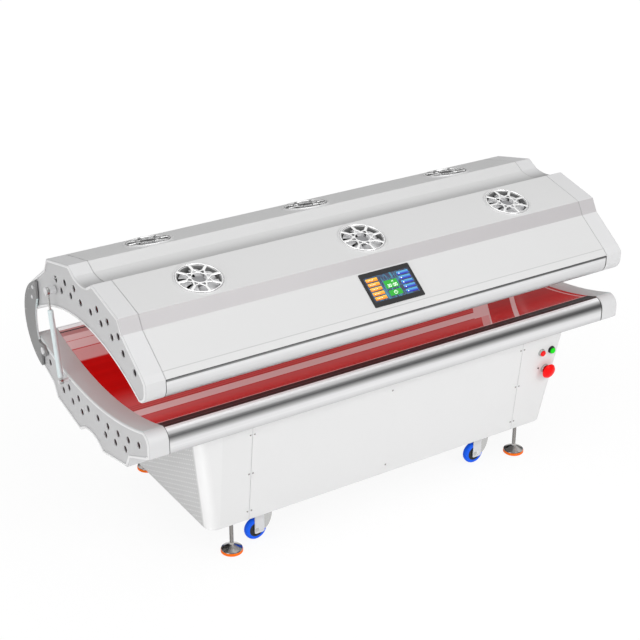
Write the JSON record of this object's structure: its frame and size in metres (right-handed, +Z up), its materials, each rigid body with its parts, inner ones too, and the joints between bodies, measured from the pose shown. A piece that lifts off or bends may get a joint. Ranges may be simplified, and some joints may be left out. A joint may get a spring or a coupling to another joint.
{
  "type": "red light therapy bed",
  "caption": "Lie-in light therapy bed: a fan-cooled canopy hinged over a curved lit lying surface, gas springs at the ends, sheet-metal cabinet on levelling feet and castors.",
  "frame": {"origin": "on the floor, under the middle of the bed's bounding box", "axes": "+X along the bed towards the end with the buttons on the front of the cabinet, +Y from the front with the display to the hinged rear, +Z up"},
  "size_m": [2.0766, 0.9768, 1.0282],
  "materials": {
    "frame_paint": "satin",
    "cabinet_white": "satin",
    "cap_white": "satin",
    "shell_white": "satin",
    "rail_aluminium": "brushed",
    "clear_red": "polished",
    "seal_black": "matt",
    "light_board": "matt",
    "rib_white": "matt",
    "pin_steel": "brushed",
    "supply_case": "matt",
    "bezel_metal": "polished",
    "black_plastic": "matt",
    "display_black": "gloss",
    "display_glass": "polished",
    "grille_chrome": "polished",
    "arm_grey": "brushed",
    "strut_white": "gloss",
    "rod_steel": "polished",
    "red_plastic": "gloss",
    "green_plastic": "gloss",
    "foot_steel": "brushed",
    "castor_steel": "brushed",
    "castor_blue": "satin"
  },
  "bodies": {
    "base": {"base_frame": "frame_paint", "cabinet_front": "cabinet_white", "cabinet_rear": "cabinet_white", "cabinet_end_left": "cabinet_white", "cabinet_end_right": "cabinet_white", "lower_shell": "shell_white", "lower_cap_left": "cap_white", "lower_cap_right": "cap_white", "lower_rails": "rail_aluminium", "bed_sheet": "clear_red", "bed_seals": "seal_black", "lower_light_boards": "light_board", "lower_ribs": "rib_white", "lower_pivot_pins": "pin_steel", "power_supplies": "supply_case", "control_bezels": "bezel_metal", "cabinet_screws": "pin_steel", "mains_inlet": "black_plastic", "castor_plates": "castor_steel"},
    "canopy": {"canopy_shell": "shell_white", "canopy_cap_left": "cap_white", "canopy_cap_right": "cap_white", "canopy_rails": "rail_aluminium", "canopy_sheet": "clear_red", "canopy_seals": "seal_black", "canopy_light_boards": "light_board", "canopy_ribs": "rib_white", "display_frame": "display_black", "display_screen": "display_glass", "fan_frames": "black_plastic", "fan_grilles": "grille_chrome", "hinge_arms": "arm_grey", "upper_pivot_pins": "pin_steel"},
    "fan_rotor_front_left": {"fan_rotor_front_left": "black_plastic"},
    "fan_rotor_front_middle": {"fan_rotor_front_middle": "black_plastic"},
    "fan_rotor_front_right": {"fan_rotor_front_right": "black_plastic"},
    "fan_rotor_rear_left": {"fan_rotor_rear_left": "black_plastic"},
    "fan_rotor_rear_middle": {"fan_rotor_rear_middle": "black_plastic"},
    "fan_rotor_rear_right": {"fan_rotor_rear_right": "black_plastic"},
    "strut_cylinder_left": {"strut_cylinder_left": "strut_white"},
    "strut_rod_left": {"strut_rod_left": "rod_steel"},
    "strut_cylinder_right": {"strut_cylinder_right": "strut_white"},
    "strut_rod_right": {"strut_rod_right": "rod_steel"},
    "red_button": {"red_button": "red_plastic"},
    "green_button": {"green_button": "green_plastic"},
    "estop_head": {"estop_head": "red_plastic"},
    "foot_front_left": {"foot_front_left": "foot_steel"},
    "foot_front_right": {"foot_front_right": "foot_steel"},
    "foot_rear_left": {"foot_rear_left": "foot_steel"},
    "foot_rear_right": {"foot_rear_right": "foot_steel"},
    "castor_fork_front_left": {"castor_fork_front_left": "castor_steel"},
    "castor_wheel_front_left": {"castor_wheel_front_left": "castor_blue"},
    "castor_fork_front_right": {"castor_fork_front_right": "castor_steel"},
    "castor_wheel_front_right": {"castor_wheel_front_right": "castor_blue"},
    "castor_fork_rear_left": {"castor_fork_rear_left": "castor_steel"},
    "castor_wheel_rear_left": {"castor_wheel_rear_left": "castor_blue"},
    "castor_fork_rear_right": {"castor_fork_rear_right": "castor_steel"},
    "castor_wheel_rear_right": {"castor_wheel_rear_right": "castor_blue"}
  },
  "joints": [
    {"name": "canopy_hinge", "type": "hinge", "parent": "base", "child": "canopy", "pos_m": [0, 0.3375, 0.598], "axis": [-1, 0, 0], "range_deg": [0, 40]},
    {"name": "fan_spin_front_left", "type": "hinge", "parent": "canopy", "child": "fan_rotor_front_left", "pos_m": [-0.653, -0.214, 1.0055], "axis": [0, -0.2293, 0.9734], "continuous": true},
    {"name": "fan_spin_front_middle", "type": "hinge", "parent": "canopy", "child": "fan_rotor_front_middle", "pos_m": [0, -0.214, 1.0055], "axis": [0, -0.2293, 0.9734], "continuous": true},
    {"name": "fan_spin_front_right", "type": "hinge", "parent": "canopy", "child": "fan_rotor_front_right", "pos_m": [0.653, -0.214, 1.0055], "axis": [0, -0.2293, 0.9734], "continuous": true},
    {"name": "fan_spin_rear_left", "type": "hinge", "parent": "canopy", "child": "fan_rotor_rear_left", "pos_m": [-0.653, 0.165, 1.0055], "axis": [0, 0.2293, 0.9734], "continuous": true},
    {"name": "fan_spin_rear_middle", "type": "hinge", "parent": "canopy", "child": "fan_rotor_rear_middle", "pos_m": [0, 0.165, 1.0055], "axis": [0, 0.2293, 0.9734], "continuous": true},
    {"name": "fan_spin_rear_right", "type": "hinge", "parent": "canopy", "child": "fan_rotor_rear_right", "pos_m": [0.653, 0.165, 1.0055], "axis": [0, 0.2293, 0.9734], "continuous": true},
    {"name": "strut_tilt_left", "type": "hinge", "parent": "base", "child": "strut_cylinder_left", "pos_m": [-1.028, 0.1375, 0.567], "axis": [-1, 0, 0], "range_deg": [0, 30]},
    {"name": "strut_stroke_left", "type": "slide", "parent": "strut_cylinder_left", "child": "strut_rod_left", "axis": [0, 0.1781, 0.984], "range_m": [0, 0.12]},
    {"name": "strut_tilt_right", "type": "hinge", "parent": "base", "child": "strut_cylinder_right", "pos_m": [1.028, 0.1375, 0.567], "axis": [-1, 0, 0], "range_deg": [0, 30]},
    {"name": "strut_stroke_right", "type": "slide", "parent": "strut_cylinder_right", "child": "strut_rod_right", "axis": [0, 0.1781, 0.984], "range_m": [0, 0.12]},
    {"name": "red_button_press", "type": "slide", "parent": "base", "child": "red_button", "axis": [0, 0.9939, 0.1103], "range_m": [0, 0.004], "stiffness_N_per_m": 500, "springref_m": -0.003},
    {"name": "green_button_press", "type": "slide", "parent": "base", "child": "green_button", "axis": [0, 0.9939, 0.1103], "range_m": [0, 0.004], "stiffness_N_per_m": 500, "springref_m": -0.003},
    {"name": "estop_press", "type": "slide", "parent": "base", "child": "estop_head", "axis": [0, 0.9939, 0.1103], "range_m": [0, 0.005]},
    {"name": "foot_level_front_left", "type": "slide", "parent": "base", "child": "foot_front_left", "axis": [0, 0, 1], "range_m": [-0.02, 0.02]},
    {"name": "foot_level_front_right", "type": "slide", "parent": "base", "child": "foot_front_right", "axis": [0, 0, 1], "range_m": [-0.02, 0.02]},
    {"name": "foot_level_rear_left", "type": "slide", "parent": "base", "child": "foot_rear_left", "axis": [0, 0, 1], "range_m": [-0.02, 0.02]},
    {"name": "foot_level_rear_right", "type": "slide", "parent": "base", "child": "foot_rear_right", "axis": [0, 0, 1], "range_m": [-0.02, 0.02]},
    {"name": "castor_swivel_front_left", "type": "hinge", "parent": "base", "child": "castor_fork_front_left", "pos_m": [-0.49, -0.3385, 0.125], "axis": [0, 0, 1], "continuous": true},
    {"name": "castor_roll_front_left", "type": "hinge", "parent": "castor_fork_front_left", "child": "castor_wheel_front_left", "pos_m": [-0.532, -0.3385, 0.0475], "axis": [0, 1, 0], "continuous": true},
    {"name": "castor_swivel_front_right", "type": "hinge", "parent": "base", "child": "castor_fork_front_right", "pos_m": [0.49, -0.3385, 0.125], "axis": [0, 0, 1], "continuous": true},
    {"name": "castor_roll_front_right", "type": "hinge", "parent": "castor_fork_front_right", "child": "castor_wheel_front_right", "pos_m": [0.448, -0.3385, 0.0475], "axis": [0, 1, 0], "continuous": true},
    {"name": "castor_swivel_rear_left", "type": "hinge", "parent": "base", "child": "castor_fork_rear_left", "pos_m": [-0.49, 0.2895, 0.125], "axis": [0, 0, 1], "continuous": true},
    {"name": "castor_roll_rear_left", "type": "hinge", "parent": "castor_fork_rear_left", "child": "castor_wheel_rear_left", "pos_m": [-0.532, 0.2895, 0.0475], "axis": [0, 1, 0], "continuous": true},
    {"name": "castor_swivel_rear_right", "type": "hinge", "parent": "base", "child": "castor_fork_rear_right", "pos_m": [0.49, 0.2895, 0.125], "axis": [0, 0, 1], "continuous": true},
    {"name": "castor_roll_rear_right", "type": "hinge", "parent": "castor_fork_rear_right", "child": "castor_wheel_rear_right", "pos_m": [0.448, 0.2895, 0.0475], "axis": [0, 1, 0], "continuous": true}
  ],
  "couplings": [
    {"joint": "strut_tilt_left", "follows": "canopy_hinge", "ratio": 0.7297},
    {"joint": "strut_stroke_left", "follows": "canopy_hinge", "m_per_rad": 0.17083},
    {"joint": "strut_tilt_right", "follows": "canopy_hinge", "ratio": 0.7297},
    {"joint": "strut_stroke_right", "follows": "canopy_hinge", "m_per_rad": 0.17083}
  ]
}
